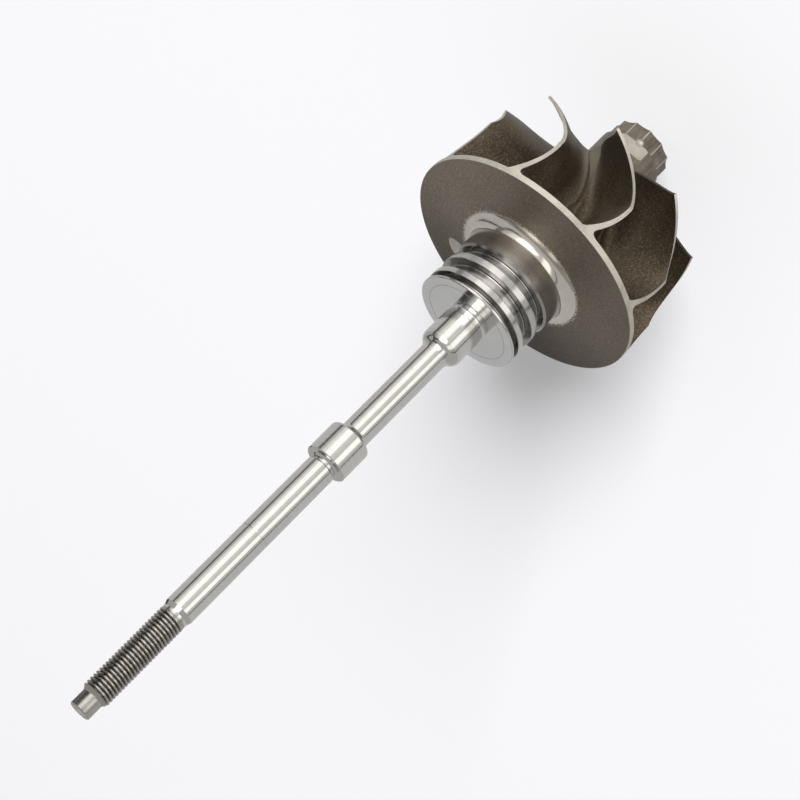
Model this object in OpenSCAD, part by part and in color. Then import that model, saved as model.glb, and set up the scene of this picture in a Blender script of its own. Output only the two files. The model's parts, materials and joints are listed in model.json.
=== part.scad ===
// Turbine shaft wheel of a turbocharger: a cast radial turbine wheel on a turned and ground steel shaft.
// The part stands on the wheel's nose. Z runs along the shaft, and z = 0 is the nose's end face.
// Two solids make it up: the casting (disc, hub, blades, twelve-point nose) and the shaft with its
// seal hub. They meet face to face at the welded seam behind the disc.

/* [Wheel] */
// Diameter of the disc and of the blades where the gas enters
wheel_d = 74; // [70:0.5:80]
// Width of the ground rim of the disc
rim_w = 1.75; // [1.2:0.05:3]
// Rise of the disc's back face from the rim to the flare
back_rise = 1.2; // [0.4:0.1:2]
// Height of the flare between the back face and the seam
flare_h = 2.7; // [1.5:0.1:4]
// Growth in radius of the flare, from the seam out to the back face
flare_w = 3.6; // [2:0.1:6]
// Radius of the hub's curve from the cone into the disc
hub_bend = 23.3; // [18:0.1:25]

/* [Blades] */
// Number of blades
blade_count = 9; // [7:1:10]
// Axial width of the blades where the gas enters
inlet_w = 14.5; // [11:0.1:18]
// Axial distance from the inlet corner to the exit tip of a blade
exit_run = 15.7; // [12:0.1:19]
// Diameter over the blade tips at the exit
exit_d = 68.6; // [60:0.2:69]
// Axial distance by which the exit edge's root lies beyond its tip
exit_sweep = 6.9; // [3:0.1:9]
// Angle that a blade turns between its straightest point and the disc
entry_turn = 7.5; // [0:0.5:12]
// Angle that a blade turns between its straightest point and its exit tip
exit_turn = 28.3; // [18:0.1:34]
// Angle by which the exit edge's root lags a radial line
exit_lean = 5.5; // [0:0.5:8]
// Angle by which a blade's root leads a radial line halfway between the disc and the exit
root_lead = 5.5; // [0:0.5:7]
// Thickness of a blade at its inlet edge
inlet_t = 1.1; // [0.8:0.05:1.6]
// Thickness of a blade at its exit edge
exit_t = 0.8; // [0.6:0.05:1.4]
// Growth of a blade's thickness towards the hub, without the fillet
root_t = 1.9; // [0.8:0.1:2.2]
// Radius of the fillet between a blade and the hub, on its hollow side
root_r = 3; // [1.5:0.1:3.4]
// Radius of the fillet between a blade and the hub, on its other side
back_root_r = 3.2; // [1.5:0.1:3.4]
// Radius of the same fillet at the disc's rim, on the blade's hollow side
rim_root_r = 1; // [0.8:0.1:1.5]
// Radius of the same fillet at the disc's rim, on the blade's other side
rim_back_root_r = 2; // [0.8:0.1:2.4]

/* [Nose] */
// Diameter over the points of the twelve-point drive
drive_d = 18.7; // [15:0.1:19.5]
// Depth of the hollows between the drive's points
drive_hollow = 0.6; // [0.4:0.05:1]
// Width of the crest ground on each point of the drive
crest_w = 0.35; // [0.2:0.05:0.6]
// Length of the twelve-point drive
drive_len = 5.6; // [4:0.1:9]
// Chamfer on the points of the drive at the nose's end
drive_edge = 0.2; // [0.1:0.1:0.8]
// Diameter of the plain neck between the drive and the blades
neck_d = 20.1; // [19.8:0.1:22]
// Length of the neck, from the drive to the roots of the exit edges
neck_len = 10.1; // [7:0.1:14]
// Diameter of the centre hole's mouth in the nose
nose_centre_d = 4; // [2:0.1:6]

/* [Balancing] */
// Depth of the flat ground into the neck
neck_cut = 1.1; // [0.4:0.1:1.6]
// Length of the flat ground into the neck
neck_cut_len = 5; // [3:0.1:7]
// Run-out at the end of the flat ground into the neck
neck_cut_run = 1.2; // [0.5:0.1:2]
// Diameter of the ball that ground the dimple beside the flat
dimple_d = 3; // [2:0.1:4]
// Depth of the mark ground into the disc's back face
mark_depth = 0.4; // [0.2:0.05:0.6]
// Length of the mark ground into the disc's back face
mark_len = 14; // [8:0.5:18]
// Width of the mark ground into the disc's back face
mark_w = 7; // [3:0.1:9]
// Angle of the mark's length from a circle about the axis
mark_turn = 18; // [-30:1:30]

/* [Seal hub] */
// Diameter of the lands of the seal hub
hub_d = 31.9; // [28:0.1:34]
// Length of the plain land next to the seam
land_1_w = 6.2; // [4:0.1:8]
// Chamfer at the end of the plain land
land_1_edge = 0.6; // [0.3:0.05:0.8]
// Width of the first groove
groove_1_w = 3.4; // [2:0.1:4.5]
// Width of the land between the first and the second groove
land_2_w = 2.3; // [1.4:0.1:4]
// Width of the second groove
groove_2_w = 3.7; // [2:0.1:4.5]
// Width of the land between the second and the third groove
land_3_w = 1.95; // [1.2:0.05:4]
// Width of the third groove, which carries the split ring
groove_3_w = 1.8; // [1.2:0.05:3]
// Width of the flange that closes the third groove
flange_w = 0.85; // [0.7:0.05:2]
// Depth of the grooves
groove_depth = 2.6; // [1.5:0.1:4]
// Chamfer on the edges of the narrow lands and of the flange
land_edge = 0.15; // [0.05:0.05:0.25]

/* [Shaft] */
// Diameter of the two bearing journals
journal_d = 12.5; // [11:0.1:14]
// Distance from the flange's face to the end of the journal beside it
journal_1_len = 10; // [7:0.1:16]
// Width of the relief between the flange's face and the journal
relief_w = 1.9; // [1:0.1:2.5]
// Depth of the relief below the journal
relief_depth = 0.3; // [0.2:0.05:0.4]
// Diameter of the waist between the journals
waist_d = 8.26; // [7:0.02:9.5]
// Distance between the journals
waist_len = 38.4; // [30:0.2:60]
// Length of the run from the first journal down to the waist
waist_run_1 = 4.6; // [3:0.1:8]
// Length of the run from the waist up to the second journal
waist_run_2 = 2.8; // [2:0.1:6]
// Length of the journal at the compressor end
journal_2_len = 9.2; // [6:0.1:14]
// Diameter of the seat for the thrust collar and the spacer
collar_seat_d = 8.6; // [8:0.02:9.4]
// Length of the seat for the thrust collar and the spacer, with its undercut
collar_seat_len = 27.5; // [18:0.1:36]
// Diameter of the seat for the compressor wheel
wheel_seat_d = 8.58; // [8:0.02:9.4]
// Length of the seat for the compressor wheel
wheel_seat_len = 27.3; // [18:0.1:40]
// Width of the undercut beside the shoulder
undercut_w = 1.9; // [1.2:0.1:3]
// Corner between the shoulder's face and the undercut
undercut_edge = 0.55; // [0.2:0.05:0.6]
// Diameter of the undercut and of the neck before the thread
undercut_d = 7.6; // [6.8:0.1:7.8]
// Length of the neck before the thread, with the chamfer of the seat
thread_neck_w = 2.6; // [2:0.1:4]
// Outer diameter of the thread
thread_d = 7.94; // [7.2:0.01:7.94]
// Length of the thread
thread_len = 26.4; // [18:0.2:34]
// Diameter of the plain end behind the thread
pilot_d = 6.1; // [5:0.1:6.4]
// Length of the plain end behind the thread, with the thread's chamfer
pilot_len = 5.8; // [3:0.1:8]
// Diameter of the centre hole's mouth in the shaft's end
shaft_centre_d = 2.6; // [1.5:0.1:3.5]

/* [Hidden] */

$fn = 96;

wheel_r = wheel_d / 2;
hub_r = hub_d / 2;
neck_r = neck_d / 2;
drive_r = drive_d / 2;
exit_r = exit_d / 2;
journal_r = journal_d / 2;
waist_r = waist_d / 2;
collar_seat_r = collar_seat_d / 2;
wheel_seat_r = wheel_seat_d / 2;
undercut_r = undercut_d / 2;
thread_r = thread_d / 2;
pilot_r = pilot_d / 2;

// Heights of the wheel's features above the nose's end face
z_neck = drive_len;
z_exit_root = z_neck + neck_len;
z_exit_tip = z_exit_root + exit_sweep;
z_inlet = z_exit_tip + exit_run;
z_rim = z_inlet + inlet_w;
z_back = z_rim + rim_w;
z_flare = z_back + back_rise;
z_seam = z_flare + flare_h;

// Heights of the shaft's features
z_groove_1 = z_seam + land_1_w;
z_land_2 = z_groove_1 + groove_1_w;
z_groove_2 = z_land_2 + land_2_w;
z_land_3 = z_groove_2 + groove_2_w;
z_groove_3 = z_land_3 + land_3_w;
z_flange = z_groove_3 + groove_3_w;
z_face = z_flange + flange_w;
z_waist = z_face + journal_1_len;
z_journal_2 = z_waist + waist_len;
z_shoulder = z_journal_2 + journal_2_len;
z_wheel_seat = z_shoulder + collar_seat_len;
z_seat_end = z_wheel_seat + wheel_seat_len;
z_thread = z_seat_end + thread_neck_w;
z_thread_end = z_thread + thread_len;
z_end = z_thread_end + pilot_len;

// Directions about the axis: the blades, the drive's points and the marks of balancing
blade_phase = 14.8;
drive_phase = 7.4;
cut_dir = 282;
dimple_dir = 276;
mark_dir = 52.7;
mark_r = 25.9;

// The hub's outline: a cone from the neck that runs into an arc, and the arc into the disc
bend_z = z_rim - hub_bend;
cone_dr = wheel_r - neck_r;
cone_dz = bend_z - z_exit_root;
hub_taper = atan2(cone_dr, cone_dz) - asin(hub_bend / norm([cone_dr, cone_dz]));
bend_start = [wheel_r - hub_bend * cos(hub_taper), bend_z + hub_bend * sin(hub_taper)];
// Share of a blade's root line that lies on the arc
arc_share = 0.62;
function mix(p, q, t) = p + (q - p) * t;
function hub_point(u) =
    u < arc_share
        ? let (a = mix(90, hub_taper, u / arc_share))
          [wheel_r - hub_bend * cos(a), bend_z + hub_bend * sin(a)]
        : mix(bend_start, [neck_r, z_exit_root], (u - arc_share) / (1 - arc_share));

// A blade's outer edge, from the inlet corner to the exit tip
inlet_r = wheel_r - 0.02;
function tip_point(u) =
    let (v = pow(u, 1.25))
    [exit_r + (inlet_r - exit_r) * pow(1 - v, 3), mix(z_inlet, z_exit_tip, v)];

// Direction of a blade's middle surface at a radius and height, from its straightest point
straight_lead = 1.1;
straight_z = z_inlet + straight_lead;
function camber(r, z) =
    let (
        entry = max(0, z - straight_z) / (z_rim - straight_z),
        exit = max(0, straight_z - z) / (straight_z - z_exit_tip),
        inner = max(0, min(1, (r - neck_r) / (exit_r - neck_r))),
        run = min(1, exit * (straight_z - z_exit_tip) / (straight_z - z_exit_root))
    )
    entry_turn * entry * entry + exit_turn * exit * exit
        - exit_lean * min(exit, 1) * (1 - pow(inner, 5))
        + root_lead * 4 * run * (1 - run) * pow(1 - inner, 3);

// A point of the middle surface: u runs from the inlet edge to the exit edge, and h is the
// distance from the hub along the line that joins the root to the outer edge
function span(u) = norm(tip_point(u) - hub_point(u));
function middle(u, h) =
    let (p = mix(hub_point(u), tip_point(u), h / span(u)), a = camber(p[0], p[1]))
    [p[0] * cos(a), p[0] * sin(a), p[1]];
// The direction across a blade at constant distance from the hub, and the two parts of the blade's
// own normal along it and away from the hub
function crossways(u, h) =
    let (
        e = 0.004,
        along = middle(min(1, u + e), h) - middle(max(0, u - e), h),
        across = middle(u, h + 0.05) - middle(u, h - 0.05),
        n = cross(along, across) / norm(cross(along, across)),
        p = mix(hub_point(u), tip_point(u), h / span(u)),
        a = camber(p[0], p[1]),
        d = (tip_point(u) - hub_point(u)) / span(u),
        up = [d[0] * cos(a), d[0] * sin(a), d[1]],
        flat = n - (n * up) * up
    )
    [flat / norm(flat), norm(flat), n * up];

// Rows of points across a blade: four in the fillet, with their height and flare as shares of the
// fillet's radius, and then even shares of the rest of the span
fillet_rows = [[-0.4, 1.4], [0.2, 0.4], [0.5, 0.13], [1, 0]];
span_rows = [0.25, 0.5, 0.75, 1];
rows = len(fillet_rows) + len(span_rows);
steps = 14;
function fillet_r(u, side) =
    side > 0
        ? mix(rim_back_root_r, back_root_r, min(1, 3 * u))
        : mix(rim_root_r, root_r, min(1, 3 * u));
function row_height(j, u, side) =
    j < len(fillet_rows)
        ? fillet_rows[j][0] * fillet_r(u, side)
        : mix(fillet_r(u, side), span(u), span_rows[j - len(fillet_rows)]);
function blade_t(u, h) =
    mix(inlet_t, exit_t, u)
        + root_t * min(1, 0.4 + 2 * u, 0.4 + 3 * (1 - u)) * pow(min(1, 1 - h / span(u)), 2);
// The inlet edge is ground, so nothing of a blade reaches past it
function ground(p) =
    let (k = min(1, inlet_r / norm([p[0], p[1]])))
    [p[0] * k, p[1] * k, p[2]];
function blade_point(u, j, side) =
    let (
        h = row_height(j, u, side),
        c = crossways(u, h),
        reach = j < len(fillet_rows) ? fillet_rows[j][1] * fillet_r(u, side) : 0,
        flare = reach * min(1, 0.1 + 2.2 * (1 - u)) * (1 - side * c[2])
    )
    ground(middle(u, h) + side * (blade_t(u, h) / 2 / c[1] + flare) * c[0]);

module blade() {
    points = [for (side = [-1, 1]) for (i = [0:steps]) for (j = [0:rows - 1])
        blade_point(i / steps, j, side)];
    far = (steps + 1) * rows;
    last = steps * rows;
    sides = [for (i = [0:steps - 1]) for (j = [0:rows - 2]) let (k = i * rows + j) each [
        [k, k + rows + 1, k + 1],
        [k, k + rows, k + rows + 1],
        [far + k, far + k + 1, far + k + rows + 1],
        [far + k, far + k + rows + 1, far + k + rows]]];
    ends = [for (j = [0:rows - 2]) each [
        [j, j + 1, far + j + 1],
        [j, far + j + 1, far + j],
        [last + j, far + last + j + 1, last + j + 1],
        [last + j, far + last + j, far + last + j + 1]]];
    edges = [for (i = [0:steps - 1]) let (k = i * rows, t = k + rows - 1) each [
        [k, far + k + rows, k + rows],
        [k, far + k, far + k + rows],
        [t, t + rows, far + t + rows],
        [t, far + t + rows, far + t]]];
    polyhedron(points, concat(sides, ends, edges));
}

// A 60 degree centre hole with a short drilled tip: its mouth is at z = 0, and it runs upwards
module centre_hole(mouth_d) {
    drill_r = mouth_d * 0.2;
    mouth_r = mouth_d / 2;
    cone_h = (mouth_r - drill_r) / tan(30);
    rotate_extrude()
        polygon([[0, -1], [mouth_r + 0.5, -1], [mouth_r, 0], [drill_r, cone_h],
            [drill_r, cone_h + mouth_d * 0.3], [0, cone_h + mouth_d * 0.4]]);
}

// The casting's turned outline, from the neck to the seam
module wheel_outline() {
    neck_edge = 0.5;
    flare_steps = 8;
    // The cone aims a hair inside the arc, so that the two cross
    aim = bend_start + [0.04, 0];
    difference() {
        polygon(concat(
            [[0, z_neck], [neck_r - neck_edge, z_neck], [neck_r, z_neck + neck_edge],
             [neck_r, z_exit_root], aim, [wheel_r, bend_z], [wheel_r, z_back]],
            [for (i = [flare_steps:-1:0]) let (a = 90 * i / flare_steps)
                [hub_r + flare_w * (1 - cos(a)), z_seam - flare_h * sin(a)]],
            [[0, z_seam]]));
        translate([wheel_r, bend_z]) circle(r = hub_bend);
    }
}

// The hollows are cylinders that leave a crest of the set width at each of the twelve points
module drive() {
    overlap = 0.5;
    points = 12;
    half_step = 180 / points;
    foot_a = half_step - asin(crest_w / 2 / drive_r);
    foot = [drive_r * cos(foot_a), drive_r * sin(foot_a)];
    bottom = drive_r - drive_hollow;
    hollow_r = (pow(foot[0] - bottom, 2) + foot[1] * foot[1]) / 2 / (foot[0] - bottom);
    difference() {
        rotate_extrude()
            polygon([[0, 0], [drive_r - drive_edge, 0], [drive_r, drive_edge],
                [drive_r, z_neck + overlap], [0, z_neck + overlap]]);
        for (i = [0:points - 1])
            rotate([0, 0, drive_phase + half_step * (2 * i + 1)])
                translate([bottom + hollow_r, 0, -overlap])
                    cylinder(h = z_neck + 3 * overlap, r = hollow_r);
    }
}

module neck_flat() {
    past = 1;
    rotate([0, 0, cut_dir]) translate([neck_r - neck_cut, 0, z_neck]) rotate([90, 0, 0])
        linear_extrude(height = neck_d, center = true)
            polygon([[0, -past], [0, neck_cut_len - neck_cut_run],
                [neck_cut * 0.25, neck_cut_len - neck_cut_run * 0.4],
                [neck_cut, neck_cut_len], [neck_r, neck_cut_len + past], [neck_r, -past]]);
}

module dimple() {
    dimple_z = 5.3;
    outside = 0.5;
    rotate([0, 0, dimple_dir]) translate([drive_r + outside, 0, dimple_z])
        sphere(d = dimple_d);
}

module back_mark() {
    crown = mark_w * mark_w / 8 / mark_depth + mark_depth / 2;
    sweep = mark_len * mark_len / 8 / mark_depth + mark_depth / 2;
    slope = atan2(back_rise, wheel_r - hub_r - flare_w);
    mark_z = z_back + (wheel_r - mark_r) * tan(slope);
    tool_depth = 3;
    rotate([0, 0, mark_dir]) translate([mark_r, 0, mark_z]) rotate([0, -slope, mark_turn])
        translate([0, 0, sweep - mark_depth]) rotate([0, 90, 0]) rotate_extrude()
            intersection() {
                translate([sweep - crown, 0]) circle(r = crown);
                translate([sweep - tool_depth, -mark_w]) square([2 * tool_depth, 2 * mark_w]);
            }
}

module turbine_wheel() {
    color("#5c554c") difference() {
        union() {
            rotate_extrude() wheel_outline();
            for (i = [0:blade_count - 1])
                rotate([0, 0, blade_phase + 360 / blade_count * i]) blade();
        }
        neck_flat();
        back_mark();
    }
    color("#8d867b") difference() {
        drive();
        centre_hole(nose_centre_d);
        dimple();
    }
}

// Points of a run between two cylinders, made of two arcs that meet; share is the first arc's part
function run(r0, z0, r1, z1, share, n) =
    let (
        turn = 2 * atan(abs(r1 - r0) / (z1 - z0)),
        way = sign(r1 - r0),
        whole = (z1 - z0) / sin(turn),
        first = whole * share,
        second = whole * (1 - share)
    )
    concat(
        [for (i = [0:n]) let (a = turn * i / n)
            [r0 + way * first * (1 - cos(a)), z0 + first * sin(a)]],
        [for (i = [n - 1:-1:0]) let (a = turn * i / n)
            [r1 - way * second * (1 - cos(a)), z1 - second * sin(a)]]);

// Points of a groove cut down from radius r between two heights, with small corners at the bottom
function groove(r, z0, z1, edge_0, edge_1) =
    let (bottom = r - groove_depth, corner = 0.3)
    [[r, z0 - edge_0], [r - edge_0, z0], [bottom + corner, z0], [bottom, z0 + corner],
     [bottom, z1 - corner], [bottom + corner, z1], [r - edge_1, z1], [r, z1 + edge_1]];

module rotor_shaft() {
    relief_r = journal_r - relief_depth;
    root = 0.6;
    color("#b9b6ae") difference() {
        rotate_extrude() polygon(concat(
            [[0, z_seam], [hub_r, z_seam]],
            groove(hub_r, z_groove_1, z_land_2, land_1_edge, land_edge),
            groove(hub_r, z_groove_2, z_land_3, land_edge, land_edge),
            groove(hub_r, z_groove_3, z_flange, land_edge, land_edge),
            [[hub_r, z_face - land_edge], [hub_r - land_edge, z_face]],
            [for (a = [0:30:90]) [relief_r + root * (1 - sin(a)), z_face + root * (1 - cos(a))]],
            [[relief_r, z_face + relief_w - relief_depth], [journal_r, z_face + relief_w]],
            run(journal_r, z_waist, waist_r, z_waist + waist_run_1, 0.5, 6),
            run(waist_r, z_journal_2 - waist_run_2, journal_r, z_journal_2, 0.65, 6),
            [[journal_r, z_shoulder - 0.2], [journal_r - 0.2, z_shoulder],
             [undercut_r + undercut_edge, z_shoulder], [undercut_r, z_shoulder + undercut_edge],
             [undercut_r, z_shoulder + undercut_w - collar_seat_r + undercut_r],
             [collar_seat_r, z_shoulder + undercut_w],
             [collar_seat_r, z_wheel_seat - 0.1], [wheel_seat_r, z_wheel_seat],
             [wheel_seat_r, z_seat_end], [undercut_r, z_seat_end + thread_neck_w / 2],
             [undercut_r, z_thread - thread_r + undercut_r], [thread_r, z_thread],
             [thread_r, z_thread_end], [pilot_r, z_thread_end + thread_r - pilot_r + 0.3],
             [pilot_r, z_end - 0.2], [pilot_r - 0.3, z_end], [0, z_end]]));
        translate([0, 0, z_end]) mirror([0, 0, 1]) centre_hole(shaft_centre_d);
    }
}

turbine_wheel();
rotor_shaft();
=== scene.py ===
# %% [markdown]
# This lesson dresses the rotor of a turbocharger: a cast turbine wheel with nine curved blades, friction
# welded to a turned and ground steel shaft. The frame gives the part's size and place. Each finished piece
# below stands for one of its two solids and keeps that solid's form, with finer curves and real finishes.

# %% The frame
import json
import math

import bmesh
import bpy
import numpy as np
from mathutils import Matrix, Vector

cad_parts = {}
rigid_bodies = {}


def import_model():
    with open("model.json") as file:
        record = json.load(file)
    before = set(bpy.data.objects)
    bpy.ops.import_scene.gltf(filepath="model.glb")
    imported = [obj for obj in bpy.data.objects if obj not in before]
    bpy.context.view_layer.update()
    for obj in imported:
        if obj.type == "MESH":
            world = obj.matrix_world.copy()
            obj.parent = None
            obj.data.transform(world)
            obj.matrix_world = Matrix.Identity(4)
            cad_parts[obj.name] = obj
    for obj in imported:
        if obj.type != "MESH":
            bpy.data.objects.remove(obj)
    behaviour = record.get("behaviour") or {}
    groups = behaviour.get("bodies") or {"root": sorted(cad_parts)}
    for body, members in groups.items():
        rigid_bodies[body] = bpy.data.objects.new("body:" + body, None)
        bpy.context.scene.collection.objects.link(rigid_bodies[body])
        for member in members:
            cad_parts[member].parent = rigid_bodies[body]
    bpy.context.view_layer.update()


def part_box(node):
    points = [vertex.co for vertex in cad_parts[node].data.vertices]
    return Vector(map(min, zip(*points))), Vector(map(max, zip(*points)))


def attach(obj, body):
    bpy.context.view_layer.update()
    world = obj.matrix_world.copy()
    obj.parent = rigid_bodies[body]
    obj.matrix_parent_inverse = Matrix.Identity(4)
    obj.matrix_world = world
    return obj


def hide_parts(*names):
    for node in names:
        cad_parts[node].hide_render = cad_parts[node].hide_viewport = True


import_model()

# %% [markdown]
# A machinist's drawing gives a rotor in millimetres, so the shapes are worked out in millimetres too, and
# only the last step turns them into Blender's metres. The main heights and radii come from the frame, so
# that a change of the part is followed here.

# %% Heights and radii of the part
MM = 0.001
wheel_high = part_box("turbine_wheel")[1]
shaft_low, shaft_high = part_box("rotor_shaft")
WHEEL_R = wheel_high.x / MM
HUB_R = shaft_high.x / MM
Z_SEAM = shaft_low.z / MM
Z_END = shaft_high.z / MM
RIM_W = 1.75
BACK_RISE = 1.2
FLARE_H = 2.7
FLARE_W = 3.6
Z_BACK = Z_SEAM - FLARE_H - BACK_RISE
Z_RIM = Z_BACK - RIM_W
INLET_W = 14.5
EXIT_RUN = 15.7
EXIT_SWEEP = 6.9
Z_INLET = Z_RIM - INLET_W
Z_EXIT_TIP = Z_INLET - EXIT_RUN
Z_EXIT_ROOT = Z_EXIT_TIP - EXIT_SWEEP
NECK_R = 10.05
NECK_LEN = 10.1
Z_NECK = Z_EXIT_ROOT - NECK_LEN
print("seam at", round(Z_SEAM, 2), "mm and neck at", round(Z_NECK, 2), "mm")
print("wheel radius", round(WHEEL_R, 2), "mm")

# %% [markdown]
# The camera comes before the shapes, because every look at them needs it. The photograph was taken from a
# little over half a metre away, slightly above the back of the disc, with the camera rolled until the shaft
# ran from corner to corner. Writing the place, the height angle and the roll as values keeps that readable.

# %% The camera
def linked(name, data):
    """An object for a mesh, a camera or a lamp, linked to the scene."""
    made = bpy.data.objects.new(name, data)
    bpy.context.scene.collection.objects.link(made)
    return made


CAMERA_PLACE = Vector((-2.2, -476.7, 305.5)) * MM
CAMERA_ELEVATION = math.radians(22.446)
CAMERA_ROLL = math.radians(224.77)
FOCAL_PX = 1943
IMAGE_PX = 800
SENSOR_MM = 36
SHIFT_PX = (-0.5, 0.5)

camera_data = bpy.data.cameras.new("camera")
camera_data.sensor_width = SENSOR_MM
camera_data.lens = FOCAL_PX / IMAGE_PX * SENSOR_MM
camera_data.shift_x = SHIFT_PX[0] / IMAGE_PX
camera_data.shift_y = SHIFT_PX[1] / IMAGE_PX
camera_data.clip_start = 0.01
camera_data.clip_end = 20
camera = linked("camera", camera_data)
level = Matrix.Rotation(math.pi / 2 - CAMERA_ELEVATION, 4, "X")
camera.matrix_world = Matrix.Translation(CAMERA_PLACE) @ level @ Matrix.Rotation(CAMERA_ROLL, 4, "Z")
bpy.context.scene.camera = camera
print("lens", round(camera_data.lens, 1), "mm")

# %% [markdown]
# Most of the part is turned on a lathe, and a turned shape is an outline that goes once round the axis. A
# Screw modifier could do that, but it leaves a seam and open poles. Ring after ring in mesh code closes both,
# and a point on the axis becomes a single vertex with a fan of triangles.

# %% Turning an outline
ON_AXIS = 0.000001


def mix(p, q, share):
    return p + (q - p) * share


def turned(outline, around):
    """Vertices in mm and faces of an outline of (radius, height) points, which runs upwards."""
    angles = np.linspace(0, 2 * math.pi, around, endpoint=False)
    verts, faces, rings = [], [], []
    for radius, height in outline:
        if radius < ON_AXIS:
            rings.append([len(verts)] * around)
            verts.append((0, 0, height))
        else:
            rings.append(list(range(len(verts), len(verts) + around)))
            verts.extend((radius * math.cos(a), radius * math.sin(a), height) for a in angles)
    for low, high in zip(rings, rings[1:]):
        for i in range(around):
            k = (i + 1) % around
            corners = [low[i], low[k], high[k], high[i]]
            face = [c for n, c in enumerate(corners) if c not in corners[:n]]
            if len(face) > 2:
                faces.append(face)
    return verts, faces


def mesh_object(name, verts, faces, materials=()):
    """A linked object at the origin, with its place in its mesh, in metres."""
    mesh = bpy.data.meshes.new(name)
    mesh.from_pydata([tuple(c * MM for c in v) for v in verts], [], faces)
    for material in materials:
        mesh.materials.append(material)
    return linked(name, mesh)


def arc(centre, radius, start, end, steps):
    """Points of an arc of an outline, with its angles in degrees from the outward direction."""
    angles = np.radians(np.linspace(start, end, steps + 1))
    return [(centre[0] + radius * math.cos(a), centre[1] + radius * math.sin(a)) for a in angles]


# %% [markdown]
# Every surface of the real rotor has its own finish, and each is one small node tree. They all read Object
# coordinates, which are metres here, so a noise scale of 1000 gives spots of about a millimetre. Helpers
# keep the trees short: the first adds a node with its links and values, and the second starts a material.

# %% Helpers for materials
def add(tree, kind, links=(), values=(), **settings):
    """A node with its settings, its input values and its links, both by input name or number."""
    made = tree.nodes.new(kind)
    for key, value in settings.items():
        setattr(made, key, value)
    for key, value in dict(values).items():
        made.inputs[key].default_value = value
    for key, source in dict(links).items():
        tree.links.new(source, made.inputs[key])
    return made


def start_material(name, metallic, roughness, specular=0.5):
    """A material, its tree, its surface shader and its Object coordinates."""
    material = bpy.data.materials.new(name)
    material.use_nodes = True
    tree = material.node_tree
    shader = tree.nodes["Principled BSDF"]
    shader.inputs["Metallic"].default_value = metallic
    shader.inputs["Roughness"].default_value = roughness
    shader.inputs["Specular IOR Level"].default_value = specular
    place = add(tree, "ShaderNodeTexCoord").outputs["Object"]
    return material, tree, shader, place


def stretched(tree, place, scale):
    return add(tree, "ShaderNodeMapping", {0: place}, {"Scale": scale}).outputs[0]


def noise(tree, place, scale, detail=4.0, roughness=0.55):
    return add(tree, "ShaderNodeTexNoise", {"Vector": place},
               {"Scale": scale, "Detail": detail, "Roughness": roughness}).outputs["Fac"]


def ranged(tree, value, low, high, to_low, to_high):
    """The value from low to high brought to another range, and held at its ends."""
    return add(tree, "ShaderNodeMapRange", {"Value": value},
               {"From Min": low, "From Max": high, "To Min": to_low, "To Max": to_high}).outputs[0]


def blended(tree, share, first, second):
    """A colour between two, each a tuple or an output."""
    made = add(tree, "ShaderNodeMix", {"Factor": share}, data_type="RGBA")
    for key, colour in (("A", first), ("B", second)):
        socket = next(s for s in made.inputs if s.name == key and s.type == "RGBA")
        if isinstance(colour, tuple):
            socket.default_value = (*colour, 1)
        else:
            tree.links.new(colour, socket)
    return next(s for s in made.outputs if s.type == "RGBA")


def maths(tree, operation, first, second=None):
    made = add(tree, "ShaderNodeMath", operation=operation)
    for n, value in enumerate((first, second)):
        if isinstance(value, (int, float)):
            made.inputs[n].default_value = value
        elif value is not None:
            tree.links.new(value, made.inputs[n])
    return made.outputs[0]


def painted(tree, shader, colour, roughness):
    """Gives the surface shader a colour and a roughness that vary from place to place."""
    tree.links.new(colour, shader.inputs["Base Color"])
    tree.links.new(roughness, shader.inputs["Roughness"])


def bumped(tree, shader, height, distance, strength):
    bump = add(tree, "ShaderNodeBump", {"Height": height}, {"Distance": distance, "Strength": strength})
    tree.links.new(bump.outputs[0], shader.inputs["Normal"])


def part_of(tree, place, axis):
    """One of a place's three coordinates."""
    return add(tree, "ShaderNodeSeparateXYZ", {0: place}).outputs[axis]


def axis_distance(tree, place):
    """Distance from the rotor's axis, in metres."""
    flat = stretched(tree, place, (1, 1, 0))
    return add(tree, "ShaderNodeVectorMath", {0: flat}, operation="LENGTH").outputs["Value"]


# %% [markdown]
# The casting comes out of its ceramic mould with a fine sand-like skin, and is blasted, which leaves it a
# dull, warm, dark grey. Metal with a low colour and a high roughness gives the soft sheen that the blades
# have near their edges. Patches of lighter metal, light grains and a fine bump make the skin. The blades get
# painted shade that deepens towards the nose, for the dark that the narrow passages between them mirror,
# and the hub between them is lighter, so the height and the distance from the axis have a share in the
# colour.

# %% The cast skin of the blades and the hub
CAST_PATCHES = ((0.076, 0.055, 0.034), (0.120, 0.092, 0.063))
CAST_GRAINS = (0.28, 0.233, 0.172)
CAST_PAINTED_SHADE = (0.022, 0.014, 0.007)
CAST_HUB = (0.205, 0.176, 0.138)
HUB_SKIN = (12 * MM, 15 * MM)
NEAR_NOSE = (11 * MM, 38 * MM)


def cast_skin():
    material, tree, shader, place = start_material("cast_skin", 0.85, 0.5)
    patches = ranged(tree, noise(tree, place, 90, 5), 0.35, 0.7, 0, 1)
    grain = noise(tree, place, 1900, 3, 0.7)
    # painted shade: the blades darken towards the nose
    painted_nose_shade = ranged(tree, part_of(tree, place, "Z"), *NEAR_NOSE, 0.62, 0)
    near_hub = ranged(tree, axis_distance(tree, place), *HUB_SKIN, 0.8, 0)
    colour = blended(tree, patches, *CAST_PATCHES)
    colour = blended(tree, ranged(tree, grain, 0.47, 0.76, 0, 1), colour, CAST_GRAINS)
    colour = blended(tree, painted_nose_shade, colour, CAST_PAINTED_SHADE)
    colour = blended(tree, near_hub, colour, CAST_HUB)
    painted(tree, shader, colour, ranged(tree, patches, 0, 1, 0.42, 0.56))
    bumped(tree, shader, maths(tree, "ADD", grain, noise(tree, place, 650, 2)), 0.00009, 0.7)
    return material


CAST = cast_skin()
print("finish:", CAST.name)

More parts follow.
